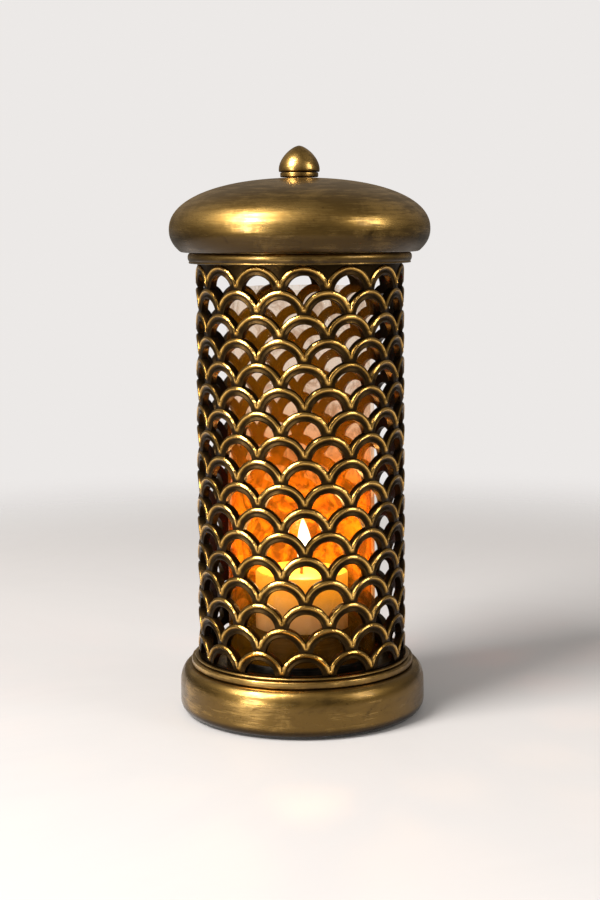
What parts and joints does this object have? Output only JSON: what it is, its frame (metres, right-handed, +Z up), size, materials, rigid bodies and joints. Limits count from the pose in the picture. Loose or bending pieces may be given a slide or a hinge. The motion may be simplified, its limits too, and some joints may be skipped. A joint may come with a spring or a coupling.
{
  "type": "hurricane candle lantern",
  "caption": "Tall round lantern with a pierced fish-scale brass cage, a lift-off domed lid with an acorn finial, a glass chimney and a pillar candle in a cup.",
  "frame": {"origin": "on the lantern's axis, in the plane it stands on", "axes": "+Z up along the lantern's axis, towards the finial; -Y faces the viewer"},
  "size_m": [0.163, 0.163, 0.3525],
  "materials": {
    "spun_brass": "aged, brushed round, blotchy patina",
    "cast_brass": "aged, dark in the hollows, worn bright on the ridges",
    "dark_brass": "darkened, dull",
    "steel": "plain",
    "amber_glass": "clear with a light amber mottle",
    "wax": "waxy, lets light through near the flame",
    "wick_cotton": "burnt cotton",
    "felt": "felt"
  },
  "bodies": {
    "lantern": {"base_felt": "felt", "base_shell": "spun_brass", "cage_collar": "cast_brass", "cage_foot_bead": "cast_brass", "cage_lattice": "cast_brass", "cage_top_ring": "cast_brass", "cage_screw_1": "steel", "cage_screw_2": "steel", "cage_screw_3": "steel", "glass_gallery": "dark_brass", "candle_cup": "dark_brass", "cup_screw": "steel", "cup_washer": "steel", "cup_nut": "steel"},
    "chimney": {"glass_chimney": "amber_glass"},
    "candle": {"candle": "wax", "wick_sustainer": "steel", "wick": "wick_cotton"},
    "lid": {"lid_dome": "spun_brass", "lid_locating_ring": "dark_brass", "lid_rivet_1": "steel", "lid_rivet_2": "steel", "lid_rivet_3": "steel", "finial_collar": "spun_brass", "finial": "spun_brass", "finial_stud": "steel", "lid_washer": "steel", "lid_nut": "steel"}
  },
  "joints": [
    {"name": "lid_lift", "type": "slide", "parent": "lantern", "child": "lid", "axis": [0, 0, 1], "range_m": [0, 0.12]},
    {"name": "chimney_lift", "type": "slide", "parent": "lantern", "child": "chimney", "axis": [0, 0, 1], "range_m": [0, 0.045]},
    {"name": "candle_lift", "type": "slide", "parent": "lantern", "child": "candle", "axis": [0, 0, 1], "range_m": [0, 0.12]}
  ]
}
